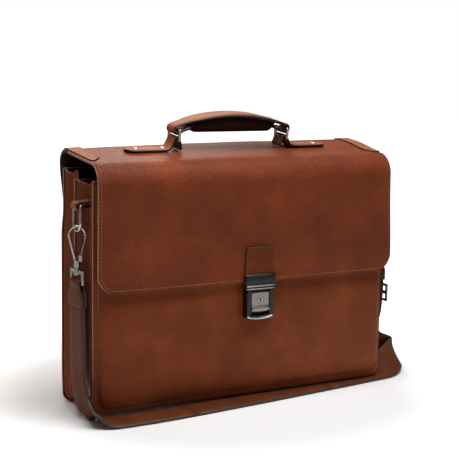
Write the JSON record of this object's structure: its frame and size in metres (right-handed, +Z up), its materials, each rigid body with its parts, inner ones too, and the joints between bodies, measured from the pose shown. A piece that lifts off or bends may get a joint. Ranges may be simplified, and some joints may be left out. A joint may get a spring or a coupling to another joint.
{
  "type": "leather briefcase",
  "caption": "Upright leather briefcase with a front flap and push lock, top handle on rings, twin compartments, front pocket and a shoulder strap lying along its base.",
  "frame": {"origin": "the middle of the rear compartment's flat underside, on the floor, 24 mm behind the middle of the body's depth", "axes": "+Z up; the lock side faces -Y; +X is to the right when facing the lock"},
  "size_m": [0.4667, 0.14, 0.3331],
  "materials": {
    "body_leather": "semi-gloss grain",
    "trim_leather": "semi-gloss grain",
    "strap_leather": "semi-gloss grain",
    "grip_leather": "satin",
    "fibre_board": "matt fibre board",
    "lining_cloth": "woven cotton",
    "gunmetal": "dark plated",
    "nickel": "polished nickel"
  },
  "bodies": {
    "root": {"back_panel": "body_leather", "divider_panel": "body_leather", "front_panel": "body_leather", "front_pocket": "body_leather", "rear_gusset": "body_leather", "front_gusset": "body_leather", "rear_base_board": "fibre_board", "front_base_board": "fibre_board", "rear_lining": "lining_cloth", "front_lining": "lining_cloth", "flap_back_strip": "body_leather", "dring_chape_left": "trim_leather", "dring_chape_right": "trim_leather", "shoulder_strap": "strap_leather", "strap_adjuster": "nickel", "lock_housing": "gunmetal", "lock_back_plate": "nickel", "lock_rivets": "nickel", "lock_spring": "nickel"},
    "flap_top": {"flap_top_panel": "body_leather", "flap_end_strips": "trim_leather", "handle_tabs": "trim_leather", "tab_rivets": "nickel"},
    "flap_front": {"flap_front_panel": "body_leather", "lock_tab": "body_leather", "lock_cap": "gunmetal", "lock_lug": "nickel", "lock_tab_rivets": "nickel"},
    "ring_left": {"handle_ring_left": "nickel"},
    "ring_right": {"handle_ring_right": "nickel"},
    "handle": {"handle_grip": "grip_leather", "handle_top_strip": "trim_leather"},
    "thumb_slide": {"thumb_plate": "nickel", "latch_slider": "nickel"},
    "key_plug": {"key_plug": "nickel"},
    "dring_left": {"dring_left": "nickel", "swivel_eye_left": "nickel", "strap_end_left": "strap_leather"},
    "hook_left": {"hook_left": "nickel"},
    "gate_left": {"gate_left": "nickel"},
    "dring_right": {"dring_right": "nickel", "swivel_eye_right": "nickel", "strap_end_right": "strap_leather"},
    "hook_right": {"hook_right": "nickel"},
    "gate_right": {"gate_right": "nickel"}
  },
  "joints": [
    {"name": "flap_top_lift", "type": "hinge", "parent": "root", "child": "flap_top", "pos_m": [0, 0.0285, 0.272], "axis": [-1, 0, 0], "range_deg": [0, 160]},
    {"name": "flap_front_lift", "type": "hinge", "parent": "flap_top", "child": "flap_front", "pos_m": [0, -0.07257, 0.27055], "axis": [-1, 0, 0], "range_deg": [0, 110]},
    {"name": "handle_sway", "type": "hinge", "parent": "flap_top", "child": "ring_left", "pos_m": [-0.073, -0.01795, 0.30306], "axis": [0, 0.9925, 0.1219], "range_deg": [-50, 50]},
    {"name": "handle_on_left_ring", "type": "hinge", "parent": "ring_left", "child": "handle", "pos_m": [-0.073, -0.01935, 0.31447], "axis": [0, 0.9925, 0.1219], "range_deg": [-50, 50]},
    {"name": "right_ring_turn", "type": "hinge", "parent": "flap_top", "child": "ring_right", "pos_m": [0.073, -0.01795, 0.30306], "axis": [0, 0.9925, 0.1219], "range_deg": [-50, 50]},
    {"name": "dring_left_swing", "type": "hinge", "parent": "root", "child": "dring_left", "pos_m": [-0.203, -0.041, 0.234], "axis": [0, 1, 0], "range_deg": [0, 35]},
    {"name": "hook_left_swivel", "type": "hinge", "parent": "dring_left", "child": "hook_left", "pos_m": [-0.203, -0.041, 0.165], "axis": [0, 0, 1], "range_deg": [-15, 60]},
    {"name": "gate_left_open", "type": "hinge", "parent": "hook_left", "child": "gate_left", "pos_m": [-0.20009, -0.04275, 0.178], "axis": [-0.515, -0.8572, 0], "range_deg": [0, 22], "stiffness_Nm_per_rad": 0.004, "springref_deg": -5.73},
    {"name": "dring_right_swing", "type": "hinge", "parent": "root", "child": "dring_right", "pos_m": [0.203, -0.041, 0.234], "axis": [0, -1, 0], "range_deg": [0, 35]},
    {"name": "hook_right_swivel", "type": "hinge", "parent": "dring_right", "child": "hook_right", "pos_m": [0.203, -0.041, 0.165], "axis": [0, 0, 1], "range_deg": [-60, 15]},
    {"name": "gate_right_open", "type": "hinge", "parent": "hook_right", "child": "gate_right", "pos_m": [0.20009, -0.04275, 0.178], "axis": [-0.515, 0.8572, 0], "range_deg": [0, 22], "stiffness_Nm_per_rad": 0.004, "springref_deg": -5.73},
    {"name": "thumb_plate_slide", "type": "slide", "parent": "root", "child": "thumb_slide", "axis": [0, 0, 1], "range_m": [-0.0035, 0.0015], "stiffness_N_per_m": 300, "springref_m": 0.0015, "deforming": ["lock_spring"]},
    {"name": "key_plug_turn", "type": "hinge", "parent": "thumb_slide", "child": "key_plug", "pos_m": [0.007, -0.081, 0.12], "axis": [0, -1, 0], "range_deg": [0, 90]}
  ],
  "couplings": [
    {"joint": "handle_on_left_ring", "follows": "handle_sway", "ratio": -1},
    {"joint": "right_ring_turn", "follows": "handle_sway", "ratio": 1}
  ]
}
